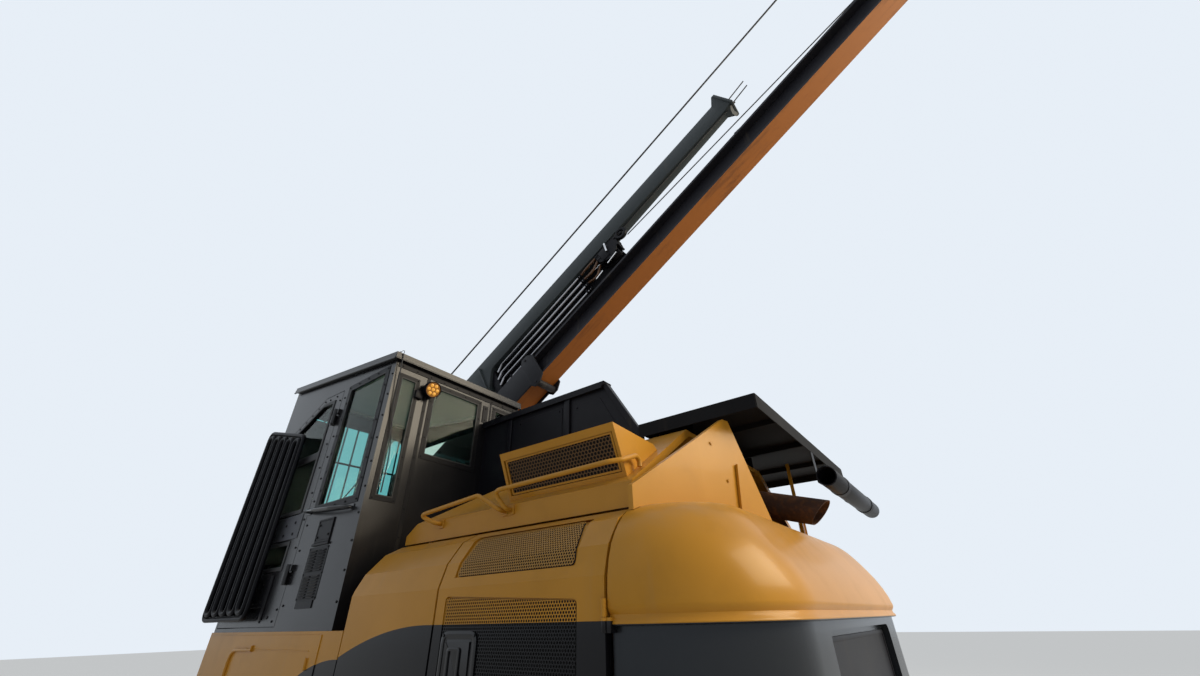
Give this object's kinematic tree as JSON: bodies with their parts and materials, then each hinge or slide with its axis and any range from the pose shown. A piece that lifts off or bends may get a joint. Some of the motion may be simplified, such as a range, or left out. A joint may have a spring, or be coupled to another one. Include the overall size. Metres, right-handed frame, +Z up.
{
  "type": "tracked stroke-boom forestry excavator",
  "caption": "Tracked forestry excavator with a closed cab, a rounded counterweight and a tilting stroke boom that slides through a cradle and carries a delimbing head.",
  "frame": {"origin": "on the ground under the slewing axis, at the centre of the outer box's base", "axes": "+Z up, front (delimbing head and cab front) towards -Y, cab on the left at +X"},
  "size_m": [3.24, 10.2411, 7.386],
  "materials": {
    "yellow": "semi-gloss",
    "black": "gloss",
    "cab_black": "gloss",
    "steel": "worn",
    "grey": "satin",
    "rust": "rusted",
    "chrome": "polished",
    "glass": "clear",
    "amber": "clear lens",
    "trim": "matt"
  },
  "bodies": {
    "undercarriage": {"carbody": "black", "slew_ring": "steel", "track_frame_left": "black", "track_frame_right": "black", "track_left": "steel", "track_right": "steel", "sprocket_left": "steel", "sprocket_right": "steel", "idler_left": "steel", "idler_right": "steel"},
    "upper": {"deck": "black", "cab_base": "yellow", "tank": "yellow", "boom_tower": "black", "cab_shell": "cab_black", "cab_roof": "cab_black", "cab_glass_left": "glass", "cab_glass_rear_narrow": "glass", "cab_glass_rear": "glass", "cab_glass_rear_inner": "glass", "cab_windshield": "glass", "cab_glass_right": "glass", "seat": "trim", "front_panel_left": "yellow", "front_panel_right": "yellow", "hood": "yellow", "intake_scoop": "yellow", "engine_block": "steel", "counterweight": "yellow", "rear_wall": "yellow", "tunnel_wall": "black", "canopy": "black", "rest_tube": "black", "exhaust": "rust", "handrail": "yellow", "handrail_front": "yellow", "rear_wall_right": "yellow", "work_light": "amber"},
    "cab_door": {"cab_door": "cab_black", "door_glass": "glass", "door_glass_low": "glass", "door_guard": "cab_black"},
    "engine_door_left": {"engine_door_left": "yellow"},
    "engine_door_right": {"engine_door_right": "yellow"},
    "boom": {"boom_cradle": "black", "hose_beam": "grey", "hose_trolley": "steel"},
    "stroke": {"stroke_beam": "grey", "delimbing_head": "black"},
    "knife_left": {"knife_left": "steel"},
    "knife_right": {"knife_right": "steel"},
    "hold_arm_left": {"hold_arm_left": "steel"},
    "hold_arm_right": {"hold_arm_right": "steel"},
    "tilt_barrels": {"tilt_barrels": "black"},
    "tilt_rods": {"tilt_rods": "chrome"}
  },
  "joints": [
    {"name": "slew", "type": "hinge", "parent": "undercarriage", "child": "upper", "pos_m": [0, 0, 1.05], "axis": [0, 0, 1], "continuous": true},
    {"name": "boom_tilt", "type": "hinge", "parent": "upper", "child": "boom", "pos_m": [-0.25, -0.6, 3.05], "axis": [1, 0, 0], "range_deg": [-31.5, 0]},
    {"name": "boom_stroke", "type": "slide", "parent": "boom", "child": "stroke", "axis": [0, 0.8526, 0.5225], "range_m": [-2.8, 2.15]},
    {"name": "knife_left_swing", "type": "hinge", "parent": "stroke", "child": "knife_left", "pos_m": [0.02, -4.65904, 0.8699], "axis": [0, 0.8526, 0.5225], "range_deg": [-70, 0]},
    {"name": "knife_right_swing", "type": "hinge", "parent": "stroke", "child": "knife_right", "pos_m": [-0.52, -4.65904, 0.8699], "axis": [0, 0.8526, 0.5225], "range_deg": [0, 70]},
    {"name": "hold_arm_left_swing", "type": "hinge", "parent": "boom", "child": "hold_arm_left", "pos_m": [0.02, -2.42567, 2.29715], "axis": [0, 0.8526, 0.5225], "range_deg": [-60, 0]},
    {"name": "hold_arm_right_swing", "type": "hinge", "parent": "boom", "child": "hold_arm_right", "pos_m": [-0.52, -2.42567, 2.29715], "axis": [0, 0.8526, 0.5225], "range_deg": [0, 60]},
    {"name": "tilt_barrels_swing", "type": "hinge", "parent": "upper", "child": "tilt_barrels", "pos_m": [-0.25, -1.2, 1.44], "axis": [1, 0, 0], "range_deg": [-5.3, 0.1]},
    {"name": "tilt_rods_slide", "type": "slide", "parent": "tilt_barrels", "child": "tilt_rods", "axis": [0, -0.5284, 0.849], "range_m": [-0.001, 0.735]},
    {"name": "cab_door_swing", "type": "hinge", "parent": "upper", "child": "cab_door", "pos_m": [1.522, -0.84, 2.5], "axis": [0, 0, 1], "range_deg": [0, 105]},
    {"name": "engine_door_left_swing", "type": "hinge", "parent": "upper", "child": "engine_door_left", "pos_m": [1.512, 1.97, 1.6], "axis": [0, 0, 1], "range_deg": [0, 100]},
    {"name": "engine_door_right_swing", "type": "hinge", "parent": "upper", "child": "engine_door_right", "pos_m": [-1.512, 1.97, 1.6], "axis": [0, 0, 1], "range_deg": [-100, 0]}
  ],
  "couplings": [
    {"joint": "knife_right_swing", "follows": "knife_left_swing", "ratio": -1},
    {"joint": "hold_arm_right_swing", "follows": "hold_arm_left_swing", "ratio": -1},
    {"joint": "tilt_barrels_swing", "follows": "boom_tilt", "ratio": 0.16545},
    {"joint": "tilt_rods_slide", "follows": "boom_tilt", "m_per_rad": -1.3316}
  ]
}
